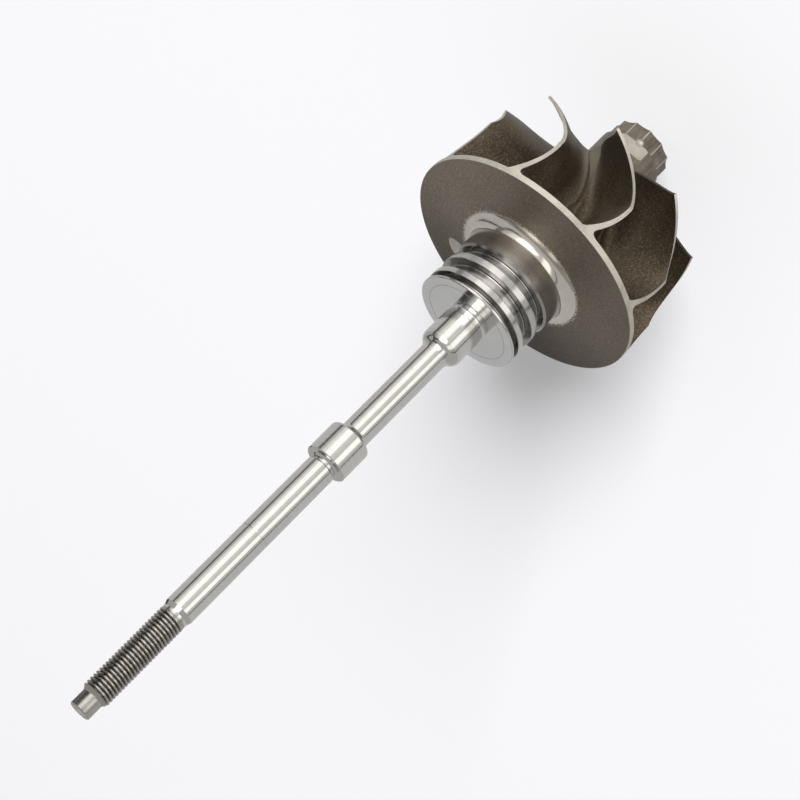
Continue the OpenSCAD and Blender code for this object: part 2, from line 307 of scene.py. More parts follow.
# %% [markdown]
# The back of the disc is the same alloy, but faced on a lathe after casting, so it has faint arcs round the
# axis, and a row of bright specks where the polished flare ends. The arcs are noise whose vector is the
# distance from the axis and the angle round it, with the angle counting little. The photograph has this
# face darker towards the side that is turned away from the light, which two gentle shades across it repeat.

# %% The faced back of the disc
BACK_PATCHES = ((0.178, 0.149, 0.114), (0.228, 0.191, 0.155))
BACK_ARCS = (0.240, 0.208, 0.172)
BACK_GRAINS = (0.38, 0.33, 0.28)
BACK_SHADE = (0.045, 0.032, 0.022)
BACK_SPECKS = (0.68, 0.61, 0.52)
SHADE_X = (27 * MM, 8 * MM)
SHADE_Y = (2 * MM, 24 * MM)
FLARE_EDGE = (HUB_R + FLARE_W) * MM
ARC_STRETCH = 0.0006


def edge_specks(tree, place, radius):
    """How much each place close to the flare's edge is a bright speck."""
    chance = ranged(tree, radius, FLARE_EDGE, FLARE_EDGE + 1.7 * MM, 0.56, 0.28)
    specks = maths(tree, "GREATER_THAN", chance, noise(tree, place, 1900, 2, 0.6))
    close = ranged(tree, radius, FLARE_EDGE + 1.1 * MM, FLARE_EDGE + 1.9 * MM, 0.75, 0)
    return maths(tree, "MULTIPLY", specks, close)


def faced_back():
    material, tree, shader, place = start_material("faced_back", 0.85, 0.48)
    radius = axis_distance(tree, place)
    x, y = part_of(tree, place, "X"), part_of(tree, place, "Y")
    angle = maths(tree, "MULTIPLY", maths(tree, "ARCTAN2", y, x), ARC_STRETCH)
    round_it = add(tree, "ShaderNodeCombineXYZ", {"X": radius, "Y": angle}).outputs[0]
    arcs = noise(tree, round_it, 2400, 3, 0.6)
    patches = ranged(tree, noise(tree, place, 60, 5), 0.35, 0.68, 0, 1)
    grain = noise(tree, place, 1700, 3, 0.75)
    shade = maths(tree, "ADD", ranged(tree, x, *SHADE_X, 0, 0.34), ranged(tree, y, *SHADE_Y, 0, 0.5))
    colour = blended(tree, patches, *BACK_PATCHES)
    colour = blended(tree, ranged(tree, arcs, 0.35, 0.7, 0, 0.4), colour, BACK_ARCS)
    colour = blended(tree, ranged(tree, grain, 0.47, 0.7, 0, 0.75), colour, BACK_GRAINS)
    colour = blended(tree, shade, colour, BACK_SHADE)
    colour = blended(tree, edge_specks(tree, place, radius), colour, BACK_SPECKS)
    painted(tree, shader, colour, ranged(tree, arcs, 0.3, 0.7, 0.40, 0.55))
    bumped(tree, shader, maths(tree, "ADD", grain, maths(tree, "MULTIPLY", arcs, 0.6)), 0.0001, 0.7)
    return material


BACK = faced_back()
print("finish:", BACK.name)

# %% [markdown]
# The rim, the blades' inlet and outer edges and the balance cuts are ground to size last of all, so they
# are the lightest places on the wheel. Grinding leaves fine lines along the way the wheel turns. On a narrow
# edge a plain noise stretched round the axis is enough to show them.

# %% The ground edges and balance cuts
def ground_metal(name, low, high, rough_low, rough_high):
    material, tree, shader, place = start_material(name, 0.8, rough_low)
    lines = noise(tree, stretched(tree, place, (0.25, 0.25, 1)), 5200, 3, 0.6)
    patches = noise(tree, place, 220, 4)
    share = ranged(tree, maths(tree, "ADD", lines, patches), 0.75, 1.25, 0, 1)
    rough = ranged(tree, lines, 0.35, 0.65, rough_low, rough_high)
    painted(tree, shader, blended(tree, share, low, high), rough)
    bumped(tree, shader, lines, 0.00002, 0.5)
    return material


GROUND = ground_metal("ground_edge", (0.375, 0.345, 0.295), (0.515, 0.48, 0.42), 0.36, 0.5)
CUT = ground_metal("balance_cut", (0.39, 0.355, 0.305), (0.53, 0.49, 0.43), 0.34, 0.48)
print("finishes:", GROUND.name, "and", CUT.name)

# %% [markdown]
# The nose keeps its cast skin, but it is handled with a socket and is rubbed lighter, with streaks along the
# axis in the drive's hollows. Its colour is between the blades and the ground edges.

# %% The nose
NOSE_PATCHES = ((0.120, 0.101, 0.078), (0.250, 0.218, 0.176))


def nose_skin():
    material, tree, shader, place = start_material("nose_skin", 0.85, 0.42)
    streaks = noise(tree, stretched(tree, place, (1, 1, 0.12)), 1500, 4, 0.6)
    patches = noise(tree, place, 160, 5)
    share = ranged(tree, maths(tree, "ADD", streaks, patches), 0.8, 1.25, 0, 1)
    rough = ranged(tree, streaks, 0.35, 0.65, 0.34, 0.5)
    painted(tree, shader, blended(tree, share, *NOSE_PATCHES), rough)
    bumped(tree, shader, maths(tree, "ADD", noise(tree, place, 2600, 3, 0.7), streaks), 0.00004, 0.5)
    return material


NOSE = nose_skin()
print("finish:", NOSE.name)

# %% [markdown]
# The shaft is ground between centres and its journals are polished. What tells ground steel from chrome is
# the very fine rings round it: they spread a reflection a little along the axis and break its edge. They are
# noise squeezed hard along Z, used in the roughness and as a bump of about a thousandth of a millimetre. On
# the flange's face the rings follow the distance from the axis, and one dark line is where a tool stopped.

# %% Turned and ground steel
FACE_LINE_R = 13.05
FACE_LINE_W = 0.14
FACE_LINE_TONE = (0.2, 0.19, 0.18)
RING_SQUEEZE = 0.02


def steel(name, low, high, rough_low, rough_high, rings, ring_height):
    """Steel with rings round the axis, with two colours and two roughnesses to vary between."""
    material, tree, shader, place = start_material(name, 1.0, rough_low)
    squeezed = stretched(tree, place, (RING_SQUEEZE, RING_SQUEEZE, 1))
    fine = noise(tree, squeezed, rings, 3, 0.65)
    broad = noise(tree, squeezed, rings / 9, 2)
    stains = noise(tree, place, 120, 5, 0.6)
    share = ranged(tree, maths(tree, "ADD", broad, stains), 0.75, 1.25, 0, 1)
    worn = maths(tree, "ADD", maths(tree, "MULTIPLY", fine, 0.6), maths(tree, "MULTIPLY", stains, 0.4))
    rough = ranged(tree, worn, 0.38, 0.62, rough_low, rough_high)
    painted(tree, shader, blended(tree, share, low, high), rough)
    bumped(tree, shader, fine, ring_height, 0.5)
    return material


def faced_steel(name, low, high, rough_low, rough_high):
    """Steel faced square to the axis: its rings follow the distance from the axis."""
    material, tree, shader, place = start_material(name, 1.0, rough_low)
    radius = axis_distance(tree, place)
    rings = add(tree, "ShaderNodeTexNoise", {"W": radius}, {"Scale": 9000.0, "Detail": 3.0},
                noise_dimensions="1D").outputs["Fac"]
    stains = noise(tree, place, 110, 5, 0.6)
    share = ranged(tree, maths(tree, "ADD", rings, stains), 0.75, 1.25, 0, 1)
    off_line = maths(tree, "ABSOLUTE", maths(tree, "SUBTRACT", radius, FACE_LINE_R * MM))
    line = ranged(tree, off_line, FACE_LINE_W * MM / 2, FACE_LINE_W * MM, 0.5, 0)
    colour = blended(tree, line, blended(tree, share, low, high), FACE_LINE_TONE)
    painted(tree, shader, colour, ranged(tree, rings, 0.35, 0.65, rough_low, rough_high))
    bumped(tree, shader, rings, 0.000001, 0.5)
    return material


# %% The steel of each place
FLARE = steel("polished_flare", (0.66, 0.605, 0.535), (0.80, 0.755, 0.69), 0.12, 0.24, 2600, 0.0000012)
POLISHED = steel("polished_shaft", (0.60, 0.585, 0.55), (0.66, 0.65, 0.62), 0.10, 0.2, 5200, 0.0000008)
LAND = steel("turned_land", (0.48, 0.465, 0.44), (0.62, 0.605, 0.575), 0.14, 0.24, 3600, 0.0000012)
# the groove floors' steel is darker than the lands': painted shade for the recesses of the grooves
GROOVE = steel("groove_floor", (0.29, 0.275, 0.26), (0.47, 0.455, 0.435), 0.12, 0.24, 3000, 0.0000014)
FACE = faced_steel("flange_face", (0.74, 0.73, 0.725), (0.82, 0.81, 0.81), 0.09, 0.15)
# the thread's steel is darker than the shaft's: painted shade for the dark that its flanks mirror
THREADED = steel("thread_steel", (0.36, 0.34, 0.305), (0.50, 0.48, 0.445), 0.2, 0.3, 5200, 0.0000008)
print("finishes:", ", ".join(m.name for m in bpy.data.materials if m.use_nodes))

# %% [markdown]
# The hub's outline is what guides the gas: a cone from the nose that runs into a long arc, which ends square
# to the rim. The arc's centre lies straight out at the rim's radius, so two lengths settle it all. The same
# line is the foot of every blade, so it is worked out once, as points for any share of the way from the rim.

# %% The hub's outline
HUB_BEND = 23.3
ARC_SHARE = 0.62
bend_z = Z_RIM - HUB_BEND
cone = (WHEEL_R - NECK_R, bend_z - Z_EXIT_ROOT)
hub_taper = math.atan2(*cone) - math.asin(HUB_BEND / math.hypot(*cone))
bend_start = np.array([WHEEL_R - HUB_BEND * math.cos(hub_taper), bend_z + HUB_BEND * math.sin(hub_taper)])
cone_foot = np.array([NECK_R, Z_EXIT_ROOT])


def hub_points(u):
    """Radius and height on the hub, from the rim at u = 0 to the neck at u = 1."""
    a = mix(math.pi / 2, hub_taper, np.minimum(u / ARC_SHARE, 1))
    on_arc = np.stack([WHEEL_R - HUB_BEND * np.cos(a), bend_z + HUB_BEND * np.sin(a)], -1)
    t = np.clip((u - ARC_SHARE) / (1 - ARC_SHARE), 0, 1)[..., None]
    return np.where(u[..., None] < ARC_SHARE, on_arc, mix(bend_start, cone_foot, t))


print("the hub's cone tapers by", round(math.degrees(hub_taper), 1), "degrees")

# %% [markdown]
# The blades are the hard part of such a wheel. Each is made of straight lines that run out from the hub, set
# at an angle round the axis that depends on radius and height: nearly radial where the gas enters, and then
# turning ever faster towards the exit edge. Its thickness grows towards the hub and runs into a cast fillet.
# A sculpted blade would never match its neighbours, so one blade is made from this rule.

# %% The rule of a blade
EXIT_R = 34.3
INLET_R = WHEEL_R - 0.02
ENTRY_TURN = 7.5
EXIT_TURN = 28.3
EXIT_LEAN = 5.5
ROOT_LEAD = 5.5
STRAIGHT_Z = Z_INLET + 1.1
TIP_EASE = 1.25
TIP_SWEEP = 3
SMALL_SHARE = 0.004
SMALL_HEIGHT = 0.05


def tip_points(u):
    """Radius and height on a blade's outer edge, from the inlet corner to the exit tip."""
    v = u ** TIP_EASE
    return np.stack([EXIT_R + (INLET_R - EXIT_R) * (1 - v) ** TIP_SWEEP, mix(Z_INLET, Z_EXIT_TIP, v)], -1)


def camber(r, z):
    """Angle of a blade's middle surface round the axis, in degrees."""
    entry = np.maximum(0, z - STRAIGHT_Z) / (Z_RIM - STRAIGHT_Z)
    leave = np.maximum(0, STRAIGHT_Z - z) / (STRAIGHT_Z - Z_EXIT_TIP)
    inner = np.clip((r - NECK_R) / (EXIT_R - NECK_R), 0, 1)
    done = np.minimum(1, leave * (STRAIGHT_Z - Z_EXIT_TIP) / (STRAIGHT_Z - Z_EXIT_ROOT))
    lag = EXIT_LEAN * np.minimum(leave, 1) * (1 - inner ** 5)
    lead = ROOT_LEAD * 4 * done * (1 - done) * (1 - inner) ** 3
    return ENTRY_TURN * entry ** 2 + EXIT_TURN * leave ** 2 - lag + lead


def span(u):
    return np.linalg.norm(tip_points(u) - hub_points(u), axis=-1)


def along_line(u, h):
    """Radius, height and angle of a point h mm from the hub on the line from the root to the outer edge."""
    point = mix(hub_points(u), tip_points(u), (h / span(u))[..., None])
    return point[..., 0], point[..., 1], np.radians(camber(point[..., 0], point[..., 1]))


def turned_round(radius, height, angle):
    """A point or a direction in the plane of the outline, turned round the axis."""
    return np.stack([radius * np.cos(angle), radius * np.sin(angle), height], -1)


def middle(u, h):
    """Points of the blade's middle surface."""
    return turned_round(*along_line(u, h))


def crossways(u, h):
    """The direction across a blade at one height over the hub, and the normal's parts along and over it."""
    along = middle(np.minimum(1, u + SMALL_SHARE), h) - middle(np.maximum(0, u - SMALL_SHARE), h)
    upward = middle(u, h + SMALL_HEIGHT) - middle(u, h - SMALL_HEIGHT)
    normal = np.cross(along, upward)
    normal /= np.linalg.norm(normal, axis=-1, keepdims=True)
    line = (tip_points(u) - hub_points(u)) / span(u)[..., None]
    line = turned_round(line[..., 0], line[..., 1], along_line(u, h)[2])
    rise = np.sum(normal * line, -1)
    flat = normal - rise[..., None] * line
    size = np.linalg.norm(flat, axis=-1)
    return flat / size[..., None], size, rise


print("a blade is", round(float(span(np.array(0.5))), 1), "mm high halfway along the hub")

# %% [markdown]
# The blade is a closed shell: two faces of rows and steps, and narrow strips that join them. The strips on
# the inlet and outer edges are ground metal and the rest keeps the cast skin. Its foot lies a little below
# the hub's surface, so that the union with the hub finds solid metal there and leaves the fillet in view.

# %% The two faces of a blade
INLET_T = 1.1
EXIT_T = 0.8
ROOT_T = 1.9
ROOT_R = {-1: 3.0, 1: 3.2}
RIM_ROOT_R = {-1: 1.0, 1: 2.0}
FILLET_SHARES = [-0.4, -0.08, 0, 0.02, 0.06, 0.13, 0.22, 0.34, 0.5, 0.72, 1]
SPAN_ROWS = 15
BLADE_STEPS = 54
FILLET_GROWS = (0, 3)
FOOT_GROWS = (0.4, 2)
FOOT_FADES = (0.4, 3)
FLARE_FADES = (0.1, 2.2)


def rising(steps, start, climb):
    """A share that rises along the steps and stays at 1 once it is there."""
    return np.minimum(1, start + climb * steps)


def blade_side(side):
    """Points of one face of the blade, in rows from below the hub's surface to the outer edge.

    The root's extra thickness and its fillet fade towards both ends of the blade.
    """
    steps = np.linspace(0, 1, BLADE_STEPS + 1)
    fillet = mix(RIM_ROOT_R[side], ROOT_R[side], rising(steps, *FILLET_GROWS))
    rows = []
    for share in FILLET_SHARES:
        reach = 1 - math.sqrt(1 - (1 - share) ** 2) if share >= 0 else 1 - share
        rows.append((share * fillet, reach * fillet))
    for share in np.linspace(0, 1, SPAN_ROWS + 1)[1:]:
        rows.append((mix(fillet, span(steps), share), 0 * fillet))
    points = []
    for height, reach in rows:
        direction, size, rise = crossways(steps, height)
        grown = np.minimum(rising(steps, *FOOT_GROWS), rising(1 - steps, *FOOT_FADES))
        thick = mix(INLET_T, EXIT_T, steps) + ROOT_T * grown * np.minimum(1, 1 - height / span(steps)) ** 2
        flare = reach * rising(1 - steps, *FLARE_FADES) * (1 - side * rise)
        p = middle(steps, height) + (side * (thick / 2 / size + flare))[:, None] * direction
        p[:, :2] *= np.minimum(1, INLET_R / np.linalg.norm(p[:, :2], axis=1))[:, None]
        points.append(p)
    return np.array(points)


print("rows and steps of a blade's face:", blade_side(1).shape[:2])


# %% One blade as a closed shell
def blade_shell():
    """Vertices, faces and the finish of each face: 0 for cast skin and 1 for a ground edge."""
    sides = [blade_side(-1), blade_side(1)]
    rows, steps = sides[0].shape[:2]
    far = rows * steps
    faces, finish = [], []

    def at(row, step, side):
        return side * far + row * steps + step

    for j in range(rows - 1):
        for i in range(steps - 1):
            near = [at(j, i, 0), at(j, i + 1, 0), at(j + 1, i + 1, 0), at(j + 1, i, 0)]
            faces += [near, [far + k for k in reversed(near)]]
            finish += [0, 0]
        faces.append([at(j, 0, 0), at(j + 1, 0, 0), at(j + 1, 0, 1), at(j, 0, 1)])
        last = steps - 1
        faces.append([at(j, last, 1), at(j + 1, last, 1), at(j + 1, last, 0), at(j, last, 0)])
        finish += [1, 0]
    for i in range(steps - 1):
        faces.append([at(0, i, 0), at(0, i, 1), at(0, i + 1, 1), at(0, i + 1, 0)])
        faces.append([at(rows - 1, i, 1), at(rows - 1, i, 0), at(rows - 1, i + 1, 0), at(rows - 1, i + 1, 1)])
        finish += [0, 1]
    return np.concatenate([s.reshape(-1, 3) for s in sides]), faces, finish


def outwards(thing):
    """Makes the faces of a closed mesh point outwards, and returns its volume in cubic mm."""
    shell = bmesh.new()
    shell.from_mesh(thing.data)
    bmesh.ops.recalc_face_normals(shell, faces=shell.faces)
    if shell.calc_volume(signed=True) < 0:
        bmesh.ops.reverse_faces(shell, faces=shell.faces)
    volume = shell.calc_volume(signed=True)
    shell.to_mesh(thing.data)
    shell.free()
    return volume / MM ** 3


blade_points, blade_faces, blade_finish = blade_shell()
one_blade = mesh_object("one_blade", blade_points, blade_faces, (CAST, GROUND))
one_blade.data.polygons.foreach_set("material_index", blade_finish)
print("one blade:", len(blade_faces), "faces,", round(outwards(one_blade)), "cubic mm")

# %% [markdown]
# The nine blades are the same casting detail nine times, so Geometry Nodes set them round the axis: a point
# for each, all on the axis, and a turn that grows with the point's number. Instances are cheap while the
# count is tried out. Realize Instances makes them real meshes at the end, because an export drops instances.

# %% A node tree with named inputs
def geometry_tree(name, inputs):
    """A tree with an input for each name and kind, those inputs' identifiers, and their outputs inside."""
    tree = bpy.data.node_groups.new(name, "GeometryNodeTree")
    tree.interface.new_socket("Geometry", in_out="INPUT", socket_type="NodeSocketGeometry")
    identifiers = {}
    for key, kind in inputs:
        made = tree.interface.new_socket(key, in_out="INPUT", socket_type="NodeSocket" + kind)
        identifiers[key] = made.identifier
    tree.interface.new_socket("Geometry", in_out="OUTPUT", socket_type="NodeSocketGeometry")
    return tree, identifiers, add(tree, "NodeGroupInput").outputs


def evaluated_mesh(thing):
    """A plain mesh of what an object's modifiers make of it."""
    bpy.context.view_layer.update()
    graph = bpy.context.evaluated_depsgraph_get()
    return bpy.data.meshes.new_from_object(thing.evaluated_get(graph))


def made_plain(name, tree, identifiers, values):
    """The result of a Geometry Nodes tree as a plain mesh object with no modifier."""
    carrier = mesh_object(name + "_carrier", [], [])
    modifier = carrier.modifiers.new("nodes", "NODES")
    modifier.node_group = tree
    for key, value in values.items():
        modifier[identifiers[key]] = value
    mesh = evaluated_mesh(carrier)
    mesh.name = name
    bpy.data.objects.remove(carrier)
    return linked(name, mesh)


# %% The ring of blades
BLADE_COUNT = 9
BLADE_PHASE = math.radians(14.8)


def ring_tree(name):
    """A tree that repeats an object round Z."""
    tree, identifiers, given = geometry_tree(
        name, (("Piece", "Object"), ("Count", "Int"), ("Phase", "Float"), ("Finish", "Material")))
    piece = add(tree, "GeometryNodeObjectInfo", {"Object": given["Piece"]})
    points = add(tree, "GeometryNodePoints", {"Count": given["Count"]})
    step = maths(tree, "DIVIDE", 2 * math.pi, given["Count"])
    number = add(tree, "GeometryNodeInputIndex").outputs[0]
    turn = maths(tree, "ADD", maths(tree, "MULTIPLY", number, step), given["Phase"])
    spin = add(tree, "ShaderNodeCombineXYZ", {"Z": turn})
    instances = add(tree, "GeometryNodeInstanceOnPoints", {
        "Points": points.outputs[0], "Instance": piece.outputs["Geometry"], "Rotation": spin.outputs[0]})
    real = add(tree, "GeometryNodeRealizeInstances", {0: instances.outputs[0]})
    cast = add(tree, "GeometryNodeMaterialSelection", {"Material": given["Finish"]})
    finished = add(tree, "GeometryNodeSetMaterial", {
        "Geometry": real.outputs[0], "Selection": cast.outputs[0], "Material": given["Finish"]})
    add(tree, "NodeGroupOutput", {0: finished.outputs[0]})
    return tree, identifiers


blades = made_plain("blades", *ring_tree("blade_ring"), {
    "Piece": one_blade, "Count": BLADE_COUNT, "Phase": BLADE_PHASE, "Finish": CAST})
bpy.data.objects.remove(one_blade)
print("blades:", len(blades.data.polygons), "faces, slots", [m.name for m in blades.data.materials])

# %% [markdown]
# The disc, the hub and the neck are one turned outline: up the cone and the arc to the rim, over the rim,
# and back along the faced disc and the polished flare to the weld. The bands of that outline have their own
# finishes, and since each face of the lathed mesh belongs to one band, its height and radius tell which.

# %% The casting's body
AROUND = 432
NECK_EDGE = 0.5
RIM_EDGE = 0.08
HUB_STEPS = 64
BACK_STEPS = 8
FLARE_STEPS = 24


def body_stretches():
    """The outline in stretches, each with the number of its finish."""
    hub = hub_points(np.linspace(1, 0, HUB_STEPS))
    stretches = [([(0, Z_NECK), (NECK_R - NECK_EDGE, Z_NECK)], 2),
                 ([(NECK_R, Z_NECK + NECK_EDGE), tuple(hub[0])], 2),
                 ([tuple(p) for p in hub[1:]], 0),
                 ([(WHEEL_R, Z_BACK - RIM_EDGE), (WHEEL_R - RIM_EDGE, Z_BACK)], 1)]
    flare = [(HUB_R + FLARE_W * (1 - math.cos(a)), Z_SEAM - FLARE_H * math.sin(a))
             for a in np.linspace(math.pi / 2, 0, FLARE_STEPS + 1)]
    rim, foot = np.array((WHEEL_R - RIM_EDGE, Z_BACK)), np.array(flare[0])
    back = [tuple(mix(rim, foot, t)) for t in np.linspace(0, 1, BACK_STEPS + 1)[1:]]
    return stretches + [(back, 3), (flare[1:], 4), ([(0, Z_SEAM)], 4)]


def turned_piece(name, stretches, around, finishes):
    """A turned piece, each ring of faces with the finish of the point that it ends at."""
    points = [p for part, _ in stretches for p in part]
    kinds = [kind for part, kind in stretches for _ in part][1:]
    made = mesh_object(name, *turned(points, around), finishes)
    rings = np.repeat(kinds, around)
    made.data.polygons.foreach_set("material_index", rings[:len(made.data.polygons)])
    return made


body = turned_piece("body", body_stretches(), AROUND, (CAST, GROUND, NOSE, BACK, FLARE, CUT))
print("body:", len(body.data.polygons), "faces,", round(outwards(body)), "cubic mm")

# %% [markdown]
# The drive on the nose takes a twelve-point socket. Each of its points is a narrow crest, rubbed bright, and
# between two crests is a shallow round hollow. A hollow is an arc that is deepest halfway, and the radius of
# that arc follows from the drive's diameter, the hollow's depth and the width of a crest.

# %% The twelve-point drive
DRIVE_R = 9.35
DRIVE_HOLLOW = 0.6
DRIVE_PHASE = math.radians(7.4)
DRIVE_POINTS = 12
CREST_W = 0.35
HOLLOW_STEPS = 12
DRIVE_EDGE = 0.2
DRIVE_OVERLAP = 0.5


def drive_outline():
    """Points of the twelve-point outline and which of its edges are crests."""
    half_step = math.pi / DRIVE_POINTS
    foot_a = half_step - math.asin(CREST_W / 2 / DRIVE_R)
    foot = (DRIVE_R * math.cos(foot_a), DRIVE_R * math.sin(foot_a))
    bottom = DRIVE_R - DRIVE_HOLLOW
    hollow_r = ((foot[0] - bottom) ** 2 + foot[1] ** 2) / 2 / (foot[0] - bottom)
    reach = math.asin(foot[1] / hollow_r)
    points, crests = [], []
    for n in range(DRIVE_POINTS):
        middle_a = DRIVE_PHASE + (2 * n + 1) * half_step
        for a in np.linspace(-reach, reach, HOLLOW_STEPS + 1):
            x, y = bottom + hollow_r * (1 - math.cos(a)), hollow_r * math.sin(a)
            points.append((x * math.cos(middle_a) - y * math.sin(middle_a),
                           x * math.sin(middle_a) + y * math.cos(middle_a)))
            crests.append(False)
        crests[-1] = True
    return points, crests


def drive_piece():
    points, crests = drive_outline()
    count = len(points)
    levels = [(0, 1 - DRIVE_EDGE / DRIVE_R), (DRIVE_EDGE, 1), (Z_NECK + DRIVE_OVERLAP, 1)]
    verts = [(p[0] * k, p[1] * k, z) for z, k in levels for p in points]
    faces = [list(reversed(range(count))), [2 * count + i for i in range(count)]]
    finish = [0, 0]
    for level in range(2):
        for i in range(count):
            k = (i + 1) % count
            base = level * count
            faces.append([base + i, base + k, base + count + k, base + count + i])
            finish.append(1 if crests[i] else 0)
    made = mesh_object("drive", verts, faces, (NOSE, GROUND))
    made.data.polygons.foreach_set("material_index", finish)
    return made


drive = drive_piece()
print("drive:", len(drive.data.polygons), "faces,", round(outwards(drive)), "cubic mm")

# %% [markdown]
# The body, the drive and the blades are one casting, so they are joined by a boolean union into one closed
# mesh, and the balance cuts are taken out of it as the grinder took them. The Manifold solver is fast on
# closed meshes. It hands each piece's finish on to the result, so a cutter's finish is what shows in its cut.

# %% Joining and cutting
def boolean(target, other, operation):
    """Joins the other object to the target or cuts it away, and removes the other."""
    modifier = target.modifiers.new("boolean", "BOOLEAN")
    modifier.operation = operation
    modifier.object = other
    modifier.solver = "MANIFOLD"
    modifier.material_mode = "TRANSFER"
    mesh = evaluated_mesh(target)
    target.modifiers.clear()
    target.data = mesh
    bpy.data.objects.remove(other)
    return len(mesh.polygons)


def placed(thing, *steps):
    """Applies turns and moves, in the order given, to a piece's mesh. Lengths in steps are in metres."""
    for step in steps:
        thing.data.transform(step)
    return thing


# %% [markdown]
# A balancer grinds metal off where the rotor is heavy: here a flat across the neck, a dimple beside it, and
# a long shallow mark on the disc's back. Each is cut with the shape of the tool that made it: a block with a
# rounded run-out, a ball and a crowned wheel. Both ends also have the small hole for a lathe's centre.

# %% The flat on the neck
CUT_DIR = math.radians(282)
NECK_CUT = 1.1
NECK_CUT_LEN = 5
NECK_CUT_RUN = 1.2
CUT_BELOW_NECK = 1
OUTSIDE = 2


def neck_flat():
    """A wedge that grinds the flat into the neck, with a rounded run-out."""
    side = [(0, -CUT_BELOW_NECK), (0, NECK_CUT_LEN - NECK_CUT_RUN)]
    side += [(NECK_CUT * (1 - math.cos(a)), NECK_CUT_LEN - NECK_CUT_RUN * (1 - math.sin(a)))
             for a in np.linspace(0, math.pi / 2, 9)[1:]]
    side += [(NECK_CUT + OUTSIDE, NECK_CUT_LEN), (NECK_CUT + OUTSIDE, -CUT_BELOW_NECK)]
    count = len(side)
    verts = [(NECK_R - NECK_CUT + x, y, Z_NECK + z) for y in (-NECK_R, NECK_R) for x, z in side]
    faces = [list(range(count)), [count + i for i in reversed(range(count))]]
    faces += [[i, (i + 1) % count, count + (i + 1) % count, count + i] for i in range(count)]
    made = mesh_object("neck_flat", verts, faces, (CUT,))
    outwards(made)
    return placed(made, Matrix.Rotation(CUT_DIR, 4, "Z"))


# %% The dimple and the centre holes
DIMPLE_DIR = math.radians(276)
DIMPLE_R = 1.5
DIMPLE_PLACE = (DRIVE_R + 0.5, 0, 5.3)
NOSE_HOLE_R = 2
TIP_HOLE_R = 1.3
DRILL_SHARE = 0.4
WELL_SHARE = 0.6
POINT_SHARE = 0.2
MOUTH_EDGE = (0.12, 0.1)
CUTTER_RIM = (0.5, 1)
BALL_TOP = 86
BALL_STEPS = 43
BALL_AROUND = 64
HOLE_AROUND = 96


def ball(name, radius, place, direction):
    """A round cutter at a place in mm, turned to a direction round the axis."""
    half = [(0, -radius)] + arc((0, 0), radius, -BALL_TOP, BALL_TOP, BALL_STEPS) + [(0, radius)]
    made = mesh_object(name, *turned(half, BALL_AROUND), (CUT,))
    outwards(made)
    return placed(made, Matrix.Translation(Vector(place) * MM), Matrix.Rotation(direction, 4, "Z"))


def centre_hole(mouth_r, height, upwards):
    """The 60 degree hole that carries the part on a lathe's centre, with a drilled well below it."""
    drill_r = mouth_r * DRILL_SHARE
    cone_h = (mouth_r - drill_r) / math.tan(math.radians(30))
    well_h = cone_h + mouth_r * WELL_SHARE
    shape = [(0, -CUTTER_RIM[1]), (mouth_r + CUTTER_RIM[0], -CUTTER_RIM[1]),
             (mouth_r + MOUTH_EDGE[0], 0), (mouth_r, MOUTH_EDGE[1]), (drill_r, cone_h),
             (drill_r, well_h), (0, well_h + mouth_r * POINT_SHARE)]
    made = mesh_object("centre_hole", *turned(shape, HOLE_AROUND), (CUT,))
    outwards(made)
    turn = Matrix.Identity(4) if upwards else Matrix.Rotation(math.pi, 4, "X")
    return placed(made, turn, Matrix.Translation((0, 0, height * MM)))


# %% The mark on the disc's back
MARK_DIR = math.radians(52.7)
MARK_TURN = math.radians(18)
MARK_R = 25.9
MARK_DEPTH = 0.4
MARK_LEN = 14
MARK_W = 7
TREAD_STEPS = 40
MARK_AROUND = 720


def sagitta_radius(width, depth):
    """The radius of an arc that is that wide and that deep."""
    return width * width / 8 / depth + depth / 2


def mark_cutter():
    """A lens-shaped wheel that skims the disc's back: long round its own axle and crowned across."""
    crown = sagitta_radius(MARK_W, MARK_DEPTH)
    sweep = sagitta_radius(MARK_LEN, MARK_DEPTH)
    reach = math.degrees(math.asin(min(1, MARK_W / crown)))
    tread = [(sweep - crown + x, y) for x, y in arc((0, 0), crown, -reach, reach, TREAD_STEPS)]
    outline = [(0, tread[0][1])] + tread + [(0, tread[-1][1])]
    made = mesh_object("mark_cutter", *turned(outline, MARK_AROUND), (CUT,))
    outwards(made)
    slope = math.atan2(BACK_RISE, WHEEL_R - HUB_R - FLARE_W)
    mark_z = Z_BACK + (WHEEL_R - MARK_R) * math.tan(slope)
    return placed(made, Matrix.Rotation(math.pi / 2, 4, "Y"),
                  Matrix.Translation((0, 0, (sweep - MARK_DEPTH) * MM)),
                  Matrix.Rotation(MARK_TURN, 4, "Z"), Matrix.Rotation(-slope, 4, "Y"),
                  Matrix.Translation((MARK_R * MM, 0, mark_z * MM)), Matrix.Rotation(MARK_DIR, 4, "Z"))


# %% The finished wheel
wheel = body
wheel.name = "cast_wheel"
print("with blades:", boolean(wheel, blades, "UNION"), "faces")
print("with drive:", boolean(wheel, drive, "UNION"), "faces")
print("with neck flat:", boolean(wheel, neck_flat(), "DIFFERENCE"), "faces")
dimple = ball("dimple", DIMPLE_R, DIMPLE_PLACE, DIMPLE_DIR)
print("with dimple:", boolean(wheel, dimple, "DIFFERENCE"), "faces")
print("with centre hole:", boolean(wheel, centre_hole(NOSE_HOLE_R, 0, True), "DIFFERENCE"), "faces")
print("with back mark:", boolean(wheel, mark_cutter(), "DIFFERENCE"), "faces")

# %% [markdown]
# The mesh has flat faces, which would show in every reflection, and a casting has none. Smooth shading hides
# them, but it would also soften the ground edges, which are crisp on the real wheel. So an edge where two
# faces meet at more than a set angle stays sharp. A finer mesh could do the same, but at a greater cost.

# %% Smooth faces with crisp edges
WHEEL_CREASE = 35


def shade(thing, crease):
    """Smooth shading that breaks at edges sharper than the crease, in degrees."""
    thing.data.polygons.foreach_set("use_smooth", [True] * len(thing.data.polygons))
    thing.data.set_sharp_from_angle(angle=math.radians(crease))


